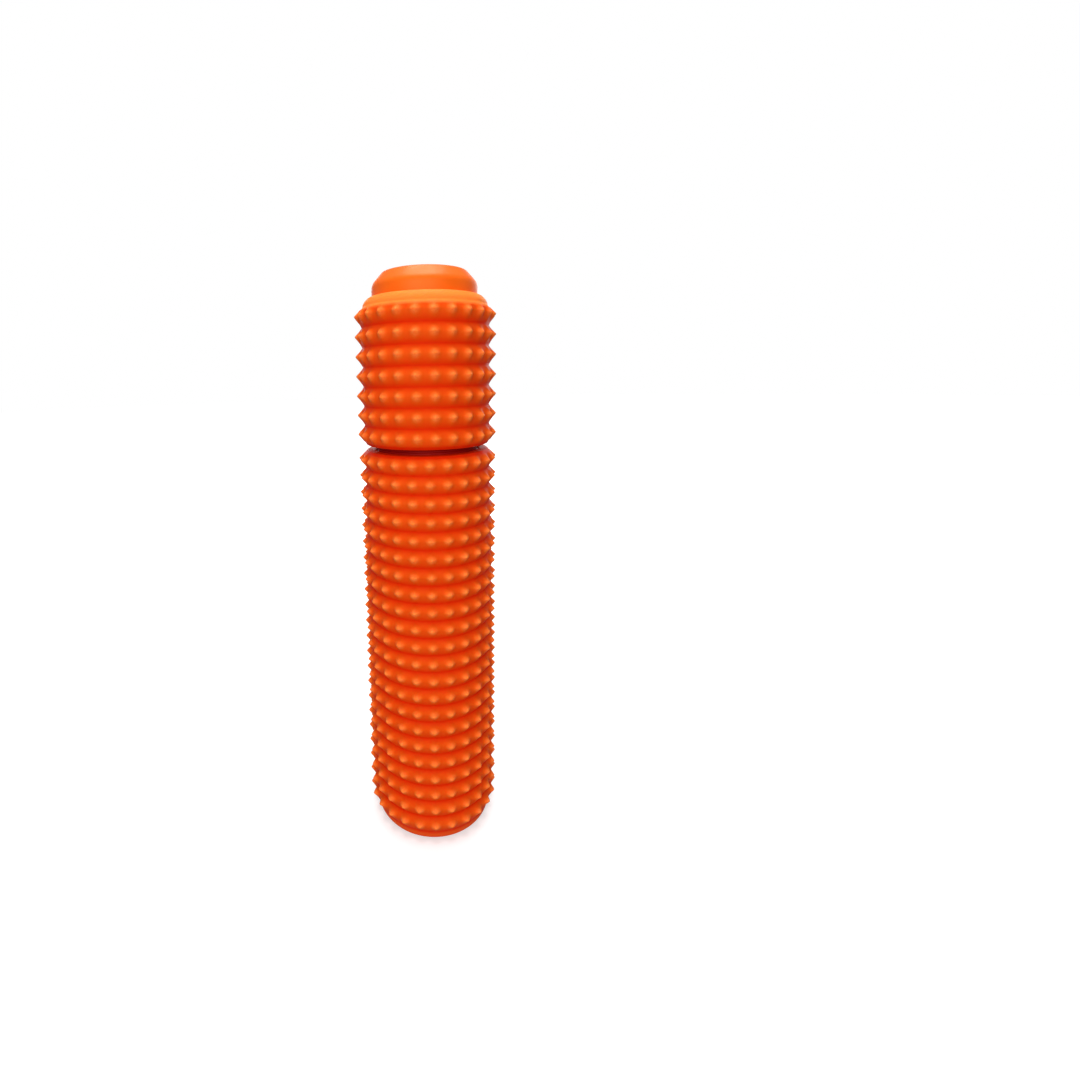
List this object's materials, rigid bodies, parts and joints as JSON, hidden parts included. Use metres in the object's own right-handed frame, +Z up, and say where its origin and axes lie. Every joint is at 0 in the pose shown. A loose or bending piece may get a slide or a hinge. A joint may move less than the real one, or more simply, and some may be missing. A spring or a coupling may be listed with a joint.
{
  "type": "spiked massage roller",
  "caption": "Hand-held or floor massage roller: a short and a long spiked barrel turn separately on one hollow core, which a chamfered plug closes at its upper end.",
  "frame": {"origin": "middle of the base, on the surface that the roller stands on", "axes": "+Z up along the roller's axis, towards the plug; -Y is the front that the viewer sees; +X to the viewer's right"},
  "size_m": [0.0739, 0.074, 0.3026],
  "materials": {
    "spiked_rubber": "soft satin orange elastomer",
    "cap_plastic": "satin orange plastic",
    "spacer_plastic": "matt dark red",
    "liner_plastic": "matt grey plastic",
    "dark_plastic": "matt charcoal plastic",
    "bearing_plastic": "smooth off-white acetal",
    "core_alloy": "drawn and anodised",
    "screw_steel": "zinc plated",
    "pad_rubber": "matt black rubber"
  },
  "bodies": {
    "core": {"core_tube": "core_alloy", "base_plug": "dark_plastic", "base_pad": "pad_rubber", "base_screws": "screw_steel", "base_washer": "bearing_plastic", "spacer_ring": "spacer_plastic", "top_washer": "bearing_plastic", "retaining_collar": "dark_plastic", "collar_screws": "screw_steel"},
    "lower_barrel": {"lower_skin": "spiked_rubber", "lower_liner": "liner_plastic", "lower_bush_bottom": "bearing_plastic", "lower_bush_middle": "bearing_plastic", "lower_bush_top": "bearing_plastic"},
    "upper_barrel": {"upper_skin": "spiked_rubber", "upper_liner": "liner_plastic", "upper_bush_bottom": "bearing_plastic", "upper_bush_top": "bearing_plastic"},
    "plug": {"end_cap": "cap_plastic", "plug_stopper": "dark_plastic", "plug_seal": "pad_rubber", "plug_screw": "screw_steel"}
  },
  "joints": [
    {"name": "lower_barrel_spin", "type": "hinge", "parent": "core", "child": "lower_barrel", "pos_m": [0, 0, 0.106], "axis": [0, 0, 1], "continuous": true},
    {"name": "upper_barrel_spin", "type": "hinge", "parent": "core", "child": "upper_barrel", "pos_m": [0, 0, 0.252], "axis": [0, 0, 1], "continuous": true},
    {"name": "plug_lift", "type": "slide", "parent": "core", "child": "plug", "axis": [0, 0, 1], "range_m": [0, 0.06]}
  ]
}
